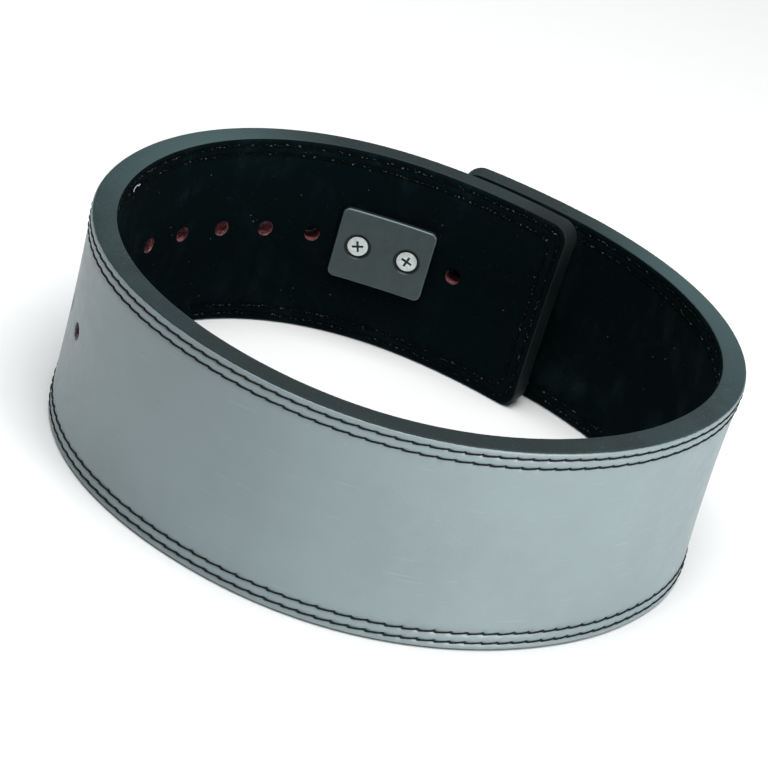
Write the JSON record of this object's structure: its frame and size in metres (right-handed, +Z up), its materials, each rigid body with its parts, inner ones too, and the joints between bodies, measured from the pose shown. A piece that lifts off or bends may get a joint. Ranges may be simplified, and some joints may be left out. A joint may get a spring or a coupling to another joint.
{
  "type": "weightlifting belt",
  "caption": "Stiff leather lifting belt closed in a loop: smooth face, suede lining, punched holes, small backing plate with screws and a lever buckle outside at the back.",
  "frame": {"origin": "on the surface that the belt lies on, under the middle of its outer box", "axes": "+Z up, along the belt's width; -Y to the front; +X to the right seen from the front; the lap and the buckle are at +Y"},
  "size_m": [0.3034, 0.2874, 0.1016],
  "materials": {
    "edge_leather": "black painted edge, soft satin",
    "grey_leather": "smooth cool grey, low sheen",
    "black_suede": "brushed black suede",
    "black_steel": "satin black-grey coat",
    "zinc_screw": "pale zinc plate",
    "buckle_steel": "satin black coat"
  },
  "bodies": {
    "root": {"leather_core": "edge_leather", "outer_face": "grey_leather", "suede_lining": "black_suede", "backing_plate": "black_steel", "screw_left": "zinc_screw", "screw_right": "zinc_screw", "lever_buckle": "buckle_steel"}
  },
  "joints": []
}
